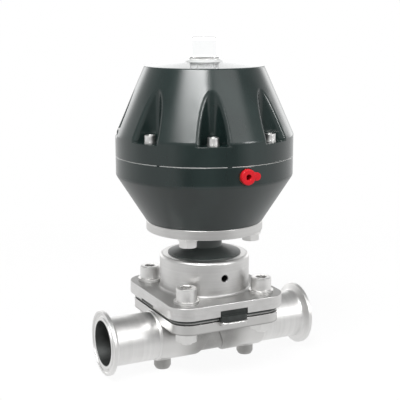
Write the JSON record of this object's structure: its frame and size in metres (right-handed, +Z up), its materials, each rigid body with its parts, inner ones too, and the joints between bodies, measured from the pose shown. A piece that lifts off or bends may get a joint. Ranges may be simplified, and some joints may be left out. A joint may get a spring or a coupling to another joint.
{
  "type": "pneumatic weir diaphragm valve",
  "caption": "Sanitary weir diaphragm valve with clamp ferrule ends and a spring-closed air actuator in a ribbed black housing.",
  "frame": {"origin": "on the floor, midway between the faces of the two foot bosses, under the stem axis", "axes": "+X along the pipe from inlet to outlet, +Z up the stem towards the indicator, -Y out of the air port"},
  "size_m": [0.175, 0.1419, 0.2623],
  "materials": {
    "forged_steel": "satin forged stainless steel",
    "polished_steel": "polished stainless steel",
    "bonnet_steel": "fine turned stainless steel",
    "fastener_steel": "stainless steel fasteners",
    "plate_steel": "satin turned stainless steel",
    "face_layer": "grey fluoropolymer sheet",
    "black_rubber": "black moulded rubber",
    "pale_rubber": "pale silicone rubber",
    "black_plastic": "gloss black moulded plastic",
    "black_neck": "black coated steel",
    "red_plastic": "red soft plastic",
    "clear_plastic": "clear moulded plastic",
    "indicator_red": "red moulded plastic",
    "brass": "turned brass",
    "stem_steel": "ground stainless steel",
    "aluminium": "cast aluminium",
    "spring_steel": "blued spring steel",
    "cloth_rubber": "fabric reinforced rubber"
  },
  "bodies": {
    "valve": {"valve_body": "forged_steel", "inlet_ferrule": "polished_steel", "outlet_ferrule": "polished_steel", "diaphragm_face": "face_layer", "diaphragm_backing": "black_rubber", "bonnet": "bonnet_steel", "bonnet_screws": "fastener_steel", "bonnet_washers": "fastener_steel", "bonnet_nuts": "fastener_steel", "neck_adapter": "black_neck", "guide_bush": "brass", "spindle_seal": "black_rubber", "neck_nut": "fastener_steel", "neck_oring": "black_rubber", "mounting_plate": "plate_steel", "plate_bolts": "fastener_steel", "plate_washers": "fastener_steel", "base_inserts": "brass", "lower_housing": "black_plastic", "upper_housing": "black_plastic", "housing_screws": "fastener_steel", "housing_washers": "fastener_steel", "housing_inserts": "brass", "membrane": "cloth_rubber", "closing_spring": "spring_steel", "port_insert": "brass", "dome_seal": "pale_rubber", "indicator_dome": "clear_plastic"},
    "stem": {"diaphragm_stud": "stem_steel", "compressor": "aluminium", "compressor_pin": "stem_steel", "spindle": "stem_steel", "lower_membrane_plate": "aluminium", "upper_membrane_plate": "aluminium", "spindle_washer": "fastener_steel", "spindle_nut": "fastener_steel", "indicator_pin": "indicator_red"},
    "port_plug": {"port_plug": "red_plastic"}
  },
  "joints": [
    {"name": "stem_lift", "type": "slide", "parent": "valve", "child": "stem", "axis": [0, 0, 1], "range_m": [0, 0.012], "stiffness_N_per_m": 3000, "springref_m": -0.02, "deforming": ["diaphragm_face", "diaphragm_backing", "membrane", "closing_spring"]},
    {"name": "port_plug_pull", "type": "slide", "parent": "valve", "child": "port_plug", "axis": [0, -1, 0], "range_m": [0, 0.012]}
  ]
}
